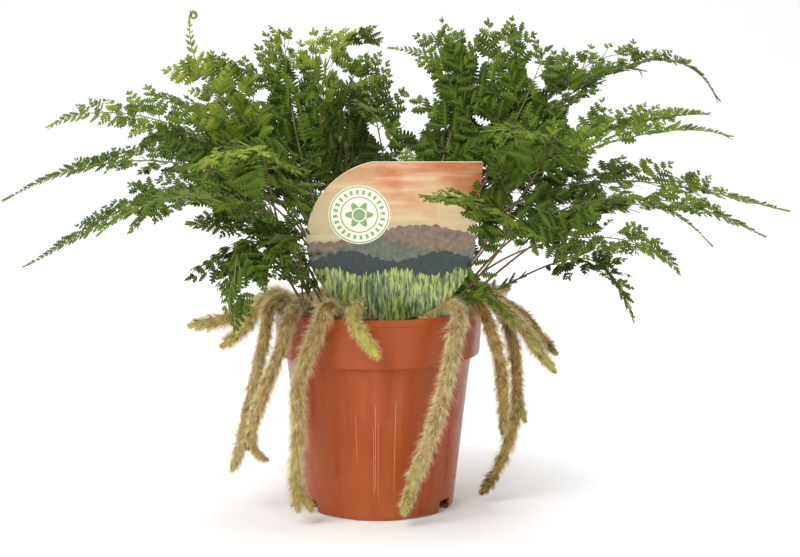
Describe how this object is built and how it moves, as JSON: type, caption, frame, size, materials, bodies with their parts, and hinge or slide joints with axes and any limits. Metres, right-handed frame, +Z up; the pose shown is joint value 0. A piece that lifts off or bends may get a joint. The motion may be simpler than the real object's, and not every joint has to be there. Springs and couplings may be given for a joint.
{
  "type": "potted fern",
  "caption": "Potted fern with furry creeping stems over the rim, finely cut arching fronds and a picture card on a stake, in a round tapered nursery pot.",
  "frame": {"origin": "centre of the pot's flat base, on the surface that the pot stands on", "axes": "+Z up along the pot's axis, -Y to the front, where the picture card stands, +X to the front view's right"},
  "size_m": [0.4502, 0.3404, 0.279],
  "materials": {
    "pot_plastic": "semi-gloss moulded polypropylene, terracotta orange",
    "potting_soil": null,
    "printed_card": "satin printed plastic card",
    "furry_stem": "dense tan fuzz over an olive core",
    "frond_green": null,
    "young_frond_green": "young yellow-green leaf, satin"
  },
  "bodies": {
    "root": {"pot": "pot_plastic", "picture_card": "printed_card", "soil": "potting_soil", "creeper_left_1": "furry_stem", "creeper_left_2": "furry_stem", "creeper_left_3": "furry_stem", "creeper_left_4": "furry_stem", "creeper_left_5": "furry_stem", "creeper_front_1": "furry_stem", "creeper_front_2": "furry_stem", "creeper_right_1": "furry_stem", "creeper_right_2": "furry_stem", "creeper_right_3": "furry_stem", "creeper_right_4": "furry_stem", "creeper_back_1": "furry_stem", "creeper_back_2": "furry_stem", "creeper_back_3": "furry_stem", "frond_left_1": "frond_green", "frond_left_2": "frond_green", "frond_left_3": "frond_green", "frond_left_4": "frond_green", "frond_left_5": "young_frond_green", "frond_left_6": "frond_green", "frond_left_7": "frond_green", "frond_left_8": "frond_green", "frond_left_9": "frond_green", "frond_left_10": "frond_green", "frond_front_1": "frond_green", "frond_front_2": "frond_green", "frond_front_3": "frond_green", "frond_front_4": "frond_green", "frond_front_5": "frond_green", "frond_front_6": "frond_green", "frond_middle_1": "frond_green", "frond_middle_2": "frond_green", "frond_middle_3": "frond_green", "frond_middle_4": "frond_green", "frond_middle_5": "frond_green", "frond_middle_6": "frond_green", "frond_middle_7": "frond_green", "frond_middle_8": "frond_green", "frond_middle_9": "frond_green", "frond_right_1": "frond_green", "frond_right_2": "frond_green", "frond_right_3": "frond_green", "frond_right_4": "frond_green", "frond_right_5": "frond_green", "frond_right_6": "frond_green", "frond_right_7": "frond_green", "frond_right_8": "frond_green", "frond_right_9": "frond_green", "frond_right_10": "frond_green", "frond_right_11": "frond_green", "frond_right_12": "frond_green", "frond_back_1": "frond_green", "frond_back_2": "frond_green", "frond_back_3": "frond_green", "frond_back_4": "frond_green", "frond_back_5": "frond_green"}
  },
  "joints": []
}
